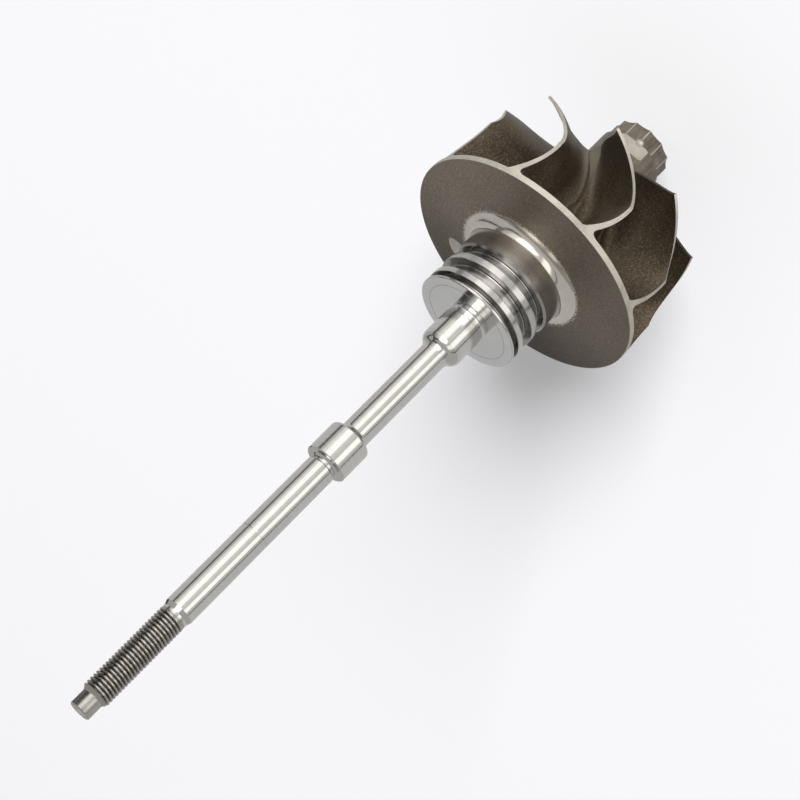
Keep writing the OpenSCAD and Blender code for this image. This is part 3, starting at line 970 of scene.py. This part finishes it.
shade(wheel, WHEEL_CREASE)
print("wheel finishes:", [m.name for m in wheel.data.materials])

# %% [markdown]
# The shaft is one turned piece with many small features: three grooves for seal rings, a relief beside the
# flange, two journals, a waist between them, two seats, and necks at the shoulder and before the thread. Its
# outline is a list of those features from the weld upwards. Short arcs blend the waist into the journals.

# %% Heights of the shaft's features
LAND_1_W = 6.2
GROOVE_1_W = 3.4
LAND_2_W = 2.3
GROOVE_2_W = 3.7
LAND_3_W = 1.95
GROOVE_3_W = 1.8
FLANGE_W = 0.85
z_groove_1 = Z_SEAM + LAND_1_W
z_land_2 = z_groove_1 + GROOVE_1_W
z_groove_2 = z_land_2 + LAND_2_W
z_land_3 = z_groove_2 + GROOVE_2_W
z_groove_3 = z_land_3 + LAND_3_W
z_flange = z_groove_3 + GROOVE_3_W
z_face = z_flange + FLANGE_W
JOURNAL_R = 6.25
WAIST_R = 4.13
COLLAR_R = 4.3
SEAT_R = 4.29
UNDERCUT_R = 3.8
THREAD_R = 3.97
PILOT_R = 3.05
JOURNAL_1_W = 10
WAIST_W = 38.4
JOURNAL_2_W = 9.2
COLLAR_W = 27.5
SEAT_W = 27.3
THREAD_NECK_W = 2.6
THREAD_W = 26.4
z_waist = z_face + JOURNAL_1_W
z_journal_2 = z_waist + WAIST_W
z_shoulder = z_journal_2 + JOURNAL_2_W
z_seat = z_shoulder + COLLAR_W
z_seat_end = z_seat + SEAT_W
z_thread = z_seat_end + THREAD_NECK_W
z_thread_end = z_thread + THREAD_W
print("flange face at", round(z_face, 2), "mm")
print("thread from", round(z_thread, 2), "to", round(z_thread_end, 2), "mm")

# %% Small sizes of the shaft
GROOVE_DEPTH = 2.6
GROOVE_CORNER = 0.3
CORNER_CUT = 0.09
WELD_EDGE = 0.3
FIRST_GROOVE_EDGE = 0.6
LAND_EDGE = 0.15
FACE_LINE_HALF = 0.12
FACE_LINE_DEPTH = 0.05
RELIEF_W = 1.9
RELIEF_DEPTH = 0.3
RELIEF_ROOT = 0.6
JOURNAL_1_RUN = 4.6
JOURNAL_2_RUN = 2.8
JOURNAL_EDGE = 0.2
UNDERCUT_EDGE = 0.55
UNDERCUT_W = 1.9
STEP_LINE_DEPTH = 0.04
STEP_LINE_Z = (z_seat - 0.4, z_seat - 0.3, z_seat - 0.1)
NECK_RUN = 1.3
THREAD_START = z_thread - 0.6
print("the threaded end takes over at", round(THREAD_START, 2), "mm")


# %% Runs and grooves
def run(r0, z0, r1, z1, share, steps):
    """Two arcs that meet, from one cylinder to the next. The first has that share of the way."""
    turn = 2 * math.atan(abs(r1 - r0) / (z1 - z0))
    way = math.copysign(1, r1 - r0)
    whole = (z1 - z0) / math.sin(turn)
    angles = np.linspace(0, turn, steps + 1)
    rise = [(r0 + way * whole * share * (1 - math.cos(a)), z0 + whole * share * math.sin(a)) for a in angles]
    rest = whole * (1 - share)
    land = [(r1 - way * rest * (1 - math.cos(a)), z1 - rest * math.sin(a)) for a in angles[::-1]]
    return rise + land[1:]


def groove(z0, z1, edge):
    """A groove with small corners, from the edge of one land to the edge of the next."""
    floor, corner = HUB_R - GROOVE_DEPTH, GROOVE_CORNER
    walls = [(HUB_R - edge, z0), (floor + corner, z0), (floor + CORNER_CUT, z0 + CORNER_CUT),
             (floor, z0 + corner), (floor, z1 - corner), (floor + CORNER_CUT, z1 - CORNER_CUT),
             (floor + corner, z1), (HUB_R - LAND_EDGE, z1)]
    return [([(HUB_R, z0 - edge)], 1), (walls, 2), ([(HUB_R, z1 + LAND_EDGE)], 1)]


# %% The flange and the stem
SHAFT_AROUND = 256
SHAFT_CREASE = 14
RUN_SHARES = (0.5, 0.65)
RUN_STEPS = 12


def flange_parts():
    """From the weld to the flange's face, with three lands and three grooves, each with its finish."""
    parts = [([(0, Z_SEAM), (HUB_R, Z_SEAM), (HUB_R, Z_SEAM + WELD_EDGE)], 1)]
    parts += groove(z_groove_1, z_land_2, FIRST_GROOVE_EDGE)
    parts += groove(z_groove_2, z_land_3, LAND_EDGE) + groove(z_groove_3, z_flange, LAND_EDGE)
    parts += [([(HUB_R, z_face - LAND_EDGE), (HUB_R - LAND_EDGE, z_face)], 1),
              ([(FACE_LINE_R + FACE_LINE_HALF, z_face), (FACE_LINE_R, z_face - FACE_LINE_DEPTH),
                (FACE_LINE_R - FACE_LINE_HALF, z_face)], 3)]
    return parts


def stem_parts():
    """From the relief beside the flange, over both journals and the seats, to where the thread starts."""
    relief_r = JOURNAL_R - RELIEF_DEPTH
    undercut_end = z_shoulder + UNDERCUT_W
    line_r = COLLAR_R - STEP_LINE_DEPTH
    relief = [(relief_r + RELIEF_ROOT * (1 - math.sin(a)), z_face + RELIEF_ROOT * (1 - math.cos(a)))
              for a in np.linspace(0, math.pi / 2, 7)]
    return [(relief, 3),
            ([(relief_r, z_face + RELIEF_W - RELIEF_DEPTH), (JOURNAL_R, z_face + RELIEF_W)], 0),
            (run(JOURNAL_R, z_waist, WAIST_R, z_waist + JOURNAL_1_RUN, RUN_SHARES[0], RUN_STEPS), 0),
            (run(WAIST_R, z_journal_2 - JOURNAL_2_RUN, JOURNAL_R, z_journal_2, RUN_SHARES[1], RUN_STEPS), 0),
            ([(JOURNAL_R, z_shoulder - JOURNAL_EDGE), (JOURNAL_R - JOURNAL_EDGE, z_shoulder),
              (UNDERCUT_R + UNDERCUT_EDGE, z_shoulder), (UNDERCUT_R, z_shoulder + UNDERCUT_EDGE),
              (UNDERCUT_R, undercut_end - COLLAR_R + UNDERCUT_R), (COLLAR_R, undercut_end),
              (COLLAR_R, STEP_LINE_Z[0]), (line_r, STEP_LINE_Z[1]), (line_r, STEP_LINE_Z[2]),
              (SEAT_R, z_seat), (SEAT_R, z_seat_end), (UNDERCUT_R, z_seat_end + NECK_RUN),
              (UNDERCUT_R, THREAD_START), (0, THREAD_START)], 0)]


shaft = turned_piece("ground_shaft", flange_parts() + stem_parts(), SHAFT_AROUND,
                     (POLISHED, LAND, GROOVE, FACE))
print("shaft:", len(shaft.data.polygons), "faces,", round(outwards(shaft)), "cubic mm")
shade(shaft, SHAFT_CREASE)

# %% [markdown]
# The nut's thread is left-handed, so that the rotor's spin tightens it. A thread is a height on a rolled-up
# sheet: the radius depends only on how far a point is along the pitch, and the angle shifts that by one pitch
# a turn. Geometry Nodes roll a grid by this rule. The sheet's first and last rows close on the axis.

# %% A tree that rolls a threaded core
SHEET_WALL = (0.004, 0.996)
SHEET_ENDS = (0.001, 0.999)
THREAD_FLANK = (0.34, 0.94)
THREAD_FADE = (-0.1, 0.6)
LEAD_IN = 0.17
LEAD_OUT_SLOPE = 0.754
TIP_EDGE = 0.25
WELD_GAP = 0.000001


def over_all(tree, operation, first, *others):
    """One operation over several values, such as the least of them all."""
    for other in others:
        first = maths(tree, operation, first, other)
    return first


def thread_radius(tree, given, z, turns):
    """The least of four limits: the thread, its lead-in and lead-out, and the tip's edge."""
    after = maths(tree, "SUBTRACT", z, given["Thread start"])
    wave = maths(tree, "MULTIPLY", maths(tree, "PINGPONG", turns, 0.5), 2)
    flank = ranged(tree, wave, *THREAD_FLANK, 0, 1)
    cut = over_all(tree, "MULTIPLY", flank, ranged(tree, after, *THREAD_FADE, 0, 1), given["Depth"])
    threaded = maths(tree, "SUBTRACT", given["Radius"], cut)
    rise = maths(tree, "MAXIMUM", maths(tree, "ADD", after, LEAD_IN), 0)
    lead_in = maths(tree, "ADD", given["Neck radius"], rise)
    fall = maths(tree, "MULTIPLY", maths(tree, "SUBTRACT", z, given["Thread end"]), LEAD_OUT_SLOPE)
    lead_out = maths(tree, "MAXIMUM", maths(tree, "SUBTRACT", given["Radius"], fall), given["Tip radius"])
    to_end = maths(tree, "SUBTRACT", maths(tree, "ADD", given["Start"], given["Length"]), z)
    tip_edge = maths(tree, "ADD", maths(tree, "SUBTRACT", given["Tip radius"], TIP_EDGE), to_end)
    return over_all(tree, "MINIMUM", threaded, lead_in, lead_out, tip_edge)


def thread_tree(name):
    """A tree that rolls a sheet into a threaded core, with all its lengths in mm."""
    lengths = ("Start", "Length", "Radius", "Neck radius", "Tip radius", "Pitch", "Depth", "Thread start",
               "Thread end")
    lengths = [(key, "Float") for key in lengths]
    tree, identifiers, given = geometry_tree(
        name, (("Around", "Int"), ("Along", "Int"), *lengths, ("Finish", "Material")))
    grid = add(tree, "GeometryNodeMeshGrid", {"Vertices X": given["Along"], "Vertices Y": given["Around"]},
               {"Size X": 1.0, "Size Y": 2 * math.pi})
    place = add(tree, "GeometryNodeInputPosition").outputs[0]
    share = maths(tree, "ADD", part_of(tree, place, "X"), 0.5)
    angle = part_of(tree, place, "Y")
    z = maths(tree, "MULTIPLY", ranged(tree, share, *SHEET_WALL, 0, 1), given["Length"])
    z = maths(tree, "ADD", z, given["Start"])
    turns = maths(tree, "DIVIDE", angle, 2 * math.pi)
    turns = maths(tree, "ADD", maths(tree, "DIVIDE", z, given["Pitch"]), turns)
    after_first = maths(tree, "GREATER_THAN", share, SHEET_ENDS[0])
    before_last = maths(tree, "LESS_THAN", share, SHEET_ENDS[1])
    radius = over_all(tree, "MULTIPLY", thread_radius(tree, given, z, turns), after_first, before_last)
    x = maths(tree, "MULTIPLY", radius, maths(tree, "COSINE", angle))
    y = maths(tree, "MULTIPLY", radius, maths(tree, "SINE", angle))
    rolled = add(tree, "ShaderNodeCombineXYZ", {"X": x, "Y": y, "Z": z})
    scaled = add(tree, "ShaderNodeVectorMath", {0: rolled.outputs[0]}, {"Scale": MM}, operation="SCALE")
    moved = add(tree, "GeometryNodeSetPosition", {"Geometry": grid.outputs[0], "Position": scaled.outputs[0]})
    welded = add(tree, "GeometryNodeMergeByDistance", {"Geometry": moved.outputs[0]}, {"Distance": WELD_GAP})
    real = add(tree, "GeometryNodeRealizeInstances", {0: welded.outputs[0]})
    finished = add(tree, "GeometryNodeSetMaterial",
                   {"Geometry": real.outputs[0], "Material": given["Finish"]})
    add(tree, "NodeGroupOutput", {0: finished.outputs[0]})
    return tree, identifiers


# %% [markdown]
# The thread's roots get painted shade. The steel is the same, so its material gets a darker tone where a
# point of the thread is near enough to the axis.

# %% Painted shade in the thread's roots
ROOT_SHADE_TONE = (0.17, 0.155, 0.132)
ROOT_SHADE_R = (THREAD_R - 0.52, THREAD_R - 0.25)
ROOT_SHADE_END = (z_thread_end - 0.45, z_thread_end + 0.15)


def painted_root_shade(material):
    """Paints shade into the thread's grooves, and leaves the pilot beyond the thread as it is."""
    tree = material.node_tree
    colour = tree.nodes["Principled BSDF"].inputs["Base Color"]
    crest = colour.links[0].from_socket
    place = next(n for n in tree.nodes if n.type == "TEX_COORD").outputs["Object"]
    deep = ranged(tree, axis_distance(tree, place), ROOT_SHADE_R[0] * MM, ROOT_SHADE_R[1] * MM, 0.85, 0)
    in_thread = ranged(tree, part_of(tree, place, "Z"), ROOT_SHADE_END[0] * MM, ROOT_SHADE_END[1] * MM, 1, 0)
    tree.links.new(blended(tree, maths(tree, "MULTIPLY", deep, in_thread), crest, ROOT_SHADE_TONE), colour)


painted_root_shade(THREADED)
print("thread roots between", [round(r, 2) for r in ROOT_SHADE_R], "mm from the axis are darker")

# %% The threaded end
PITCH = 1.0583
THREAD_DEPTH = 0.62
THREAD_AROUND = 97
THREAD_ALONG = 421
THREAD_CREASE = 32
core = made_plain("threaded_end", *thread_tree("threaded_core"), {
    "Around": THREAD_AROUND, "Along": THREAD_ALONG, "Start": THREAD_START, "Length": Z_END - THREAD_START,
    "Radius": THREAD_R, "Neck radius": UNDERCUT_R, "Tip radius": PILOT_R, "Pitch": PITCH,
    "Depth": THREAD_DEPTH, "Thread start": z_thread, "Thread end": z_thread_end, "Finish": THREADED})
print("threaded end:", len(core.data.polygons), "faces,", round(outwards(core)), "cubic mm")
print("with centre hole:", boolean(core, centre_hole(TIP_HOLE_R, Z_END, False), "DIFFERENCE"), "faces")
shade(core, THREAD_CREASE)

# %% [markdown]
# Each finished piece now rides on the frame's body and says which solid it stands for, and that solid is
# hidden. The shaft and its threaded end both stand for the one solid of the shaft.

# %% The pieces on the frame
for piece, node, record_slot in ((wheel, "turbine_wheel", "wheel_casting"),
                                 (shaft, "rotor_shaft", "shaft_steel"),
                                 (core, "rotor_shaft", "shaft_steel")):
    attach(piece, "root")
    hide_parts(node)
    print(piece.name, "stands for", node)

# %% [markdown]
# Polished steel is only as good as what it reflects. The floor is a pale matt sheet. The camera sees it in a
# lighter tone with a little glow, so the ground looks white while the part's shadow stays on it. All other
# rays see the plain tone, which the steel picks up. It lies a little below the nose, which sets the shadow as
# far from the wheel as it is in the photograph.

# %% The floor
FLOOR_SIDE = 12
FLOOR_TONE = 0.63
FLOOR_SEEN = 0.845
CAMERA_LIFT = 0.085
FLOOR_Z = -14
FLOOR_BLUE = 1.02


def pale_floor():
    material = bpy.data.materials.new("pale_floor")
    material.use_nodes = True
    tree = material.node_tree
    tree.nodes.clear()
    seen = add(tree, "ShaderNodeLightPath").outputs["Is Camera Ray"]
    tone = blended(tree, seen, (FLOOR_TONE,) * 3, (FLOOR_SEEN, FLOOR_SEEN, FLOOR_SEEN * FLOOR_BLUE))
    matt = add(tree, "ShaderNodeBsdfDiffuse", {"Color": tone})
    glow = add(tree, "ShaderNodeEmission", {"Strength": maths(tree, "MULTIPLY", seen, CAMERA_LIFT)})
    both = add(tree, "ShaderNodeAddShader", {0: matt.outputs[0], 1: glow.outputs[0]})
    add(tree, "ShaderNodeOutputMaterial", {"Surface": both.outputs[0]})
    half = FLOOR_SIDE / 2 / MM
    corners = [(-half, -half, FLOOR_Z), (half, -half, FLOOR_Z), (half, half, FLOOR_Z), (-half, half, FLOOR_Z)]
    mesh_object("floor", corners, [[0, 1, 2, 3]], (material,))


pale_floor()
print("floor", -FLOOR_Z, "mm below the nose")

# %% [markdown]
# The light is soft and plain: an even grey world, a broad soft box beside the camera, and a wide lamp that
# is far away and low, which throws the shadow. A cylinder mirrors what stands at twice its normal's angle
# from the camera's side, so the shaft's bands are made by tall cards that stand round it: lit ones for the
# bright bands, black ones for the dark lines and for the dark side of the thread. The far black card is
# mirrored by the flange's face into the relief beside it. Only reflections see the cards. They stand close,
# because the shaft is seen from above and so mirrors the floor beyond them.

# %% The world
WORLD_LEVEL = 0.3
WORLD_MIRRORED = 0.5
WORLD_SEEN = 0.93


def even_world():
    """A grey world, brighter in reflections. The camera sees it as pale as the floor, so no horizon shows."""
    world = bpy.data.worlds.new("studio")
    bpy.context.scene.world = world
    world.use_nodes = True
    background = world.node_tree.nodes["Background"]
    background.inputs["Color"].default_value = (1, 1, 1, 1)
    path = add(world.node_tree, "ShaderNodeLightPath").outputs
    mirrored = ranged(world.node_tree, path["Is Glossy Ray"], 0, 1, WORLD_LEVEL, WORLD_MIRRORED)
    seen = maths(world.node_tree, "MULTIPLY", path["Is Camera Ray"], WORLD_SEEN - WORLD_LEVEL)
    world.node_tree.links.new(maths(world.node_tree, "ADD", mirrored, seen), background.inputs["Strength"])


even_world()

# %% The lamps
KEY_PLACE = (0.96, -2.91, 1.35)
KEY_AIM = (0, 0, 0.05)
KEY_SIDE = 2.4
KEY_LEVEL = 1.6
FAR_PLACE = (0.135, -0.95, 0.305)
FAR_ANGLE = 17
FAR_LEVEL = 6.7


def soft_box(name, place, aim, width, height, level, colour=(1, 1, 1)):
    """A rectangular lamp, with its place and aim in metres. A level of 1 is as bright as white."""
    data = bpy.data.lights.new(name, "AREA")
    data.shape = "RECTANGLE"
    data.size = width
    data.size_y = height
    data.energy = level * width * height * math.pi
    data.color = colour
    lamp = linked(name, data)
    look = (Vector(aim) - Vector(place)).to_track_quat("-Z", "Y")
    lamp.matrix_world = Matrix.Translation(place) @ look.to_matrix().to_4x4()
    lamp.visible_camera = False
    return lamp


def far_light():
    """A wide soft light that is so far away that the ground is even. It throws the shadow."""
    data = bpy.data.lights.new("far_light", "SUN")
    data.angle = math.radians(FAR_ANGLE)
    data.energy = FAR_LEVEL
    lamp = linked("far_light", data)
    lamp.matrix_world = (-Vector(FAR_PLACE)).to_track_quat("-Z", "Y").to_matrix().to_4x4()
    lamp.visible_glossy = False


soft_box("key", KEY_PLACE, KEY_AIM, KEY_SIDE, KEY_SIDE, KEY_LEVEL)
far_light()

# %% The cards that the steel mirrors
CARD_DISTANCE = 0.105
CARD_HEIGHT = 0.215
BAND_LIGHT = (1.0, 0.985, 0.95)
LIT_CARDS = (("band_left", 226, 251, 0.95), ("band_middle", 259, 280, 0.2),
             ("band_right", 280, 311, 0.95), ("band_end", 311, 328, 0.4))
DARK_CARDS = (("dark_left", 203, 208, 0, 0.03, CARD_DISTANCE),
              ("dark_right", 342, 357, 0.026, 0.15, CARD_DISTANCE),
              ("dark_tip", 317, 362, 0.173, 0.012, CARD_DISTANCE),
              ("dark_far", 352, 420, 0.178, 0.008, 0.26))


def card_ends(low, high, distance):
    """The two lower corners, in metres, of a card that spans two angles round the axis."""
    return [Vector((math.cos(a), math.sin(a), 0)) * distance for a in np.radians((low, high))]


def lit_card(name, low, high, level):
    """A card that shines, between two angles round the axis, in degrees."""
    one, other = card_ends(low, high, CARD_DISTANCE)
    centre = (one + other) / 2 + Vector((0, 0, CARD_HEIGHT / 2))
    width = (one - other).length
    lamp = soft_box(name, centre, (0, 0, centre.z), width, CARD_HEIGHT, level, BAND_LIGHT)
    lamp.visible_diffuse = False


def dark_card(name, low, high, bottom, tone, distance):
    """A card of one dark tone, from a height in metres up to the top of all the cards."""
    one, other = (end + Vector((0, 0, bottom)) for end in card_ends(low, high, distance))
    rise = Vector((0, 0, CARD_HEIGHT - bottom))
    black = bpy.data.materials.new(name)
    black.use_nodes = True
    shader = black.node_tree.nodes["Principled BSDF"]
    shader.inputs["Base Color"].default_value = (0, 0, 0, 1)
    shader.inputs["Specular IOR Level"].default_value = 0
    shader.inputs["Roughness"].default_value = 1.0
    shader.inputs["Emission Color"].default_value = (tone, tone, tone, 1)
    shader.inputs["Emission Strength"].default_value = 1.0
    corners = [corner / MM for corner in (one, other, other + rise, one + rise)]
    made = mesh_object(name, corners, [[0, 1, 2, 3]], (black,))
    made.visible_camera = False
    made.visible_diffuse = False
    made.visible_shadow = False


for card in LIT_CARDS:
    lit_card(*card)
for card in DARK_CARDS:
    dark_card(*card)
print("cards:", len(LIT_CARDS), "lit and", len(DARK_CARDS), "dark")

# %% [markdown]
# The view transform is Standard, so a colour renders as it is written.

# %% The view transform and the end
bpy.context.scene.view_settings.view_transform = "Standard"
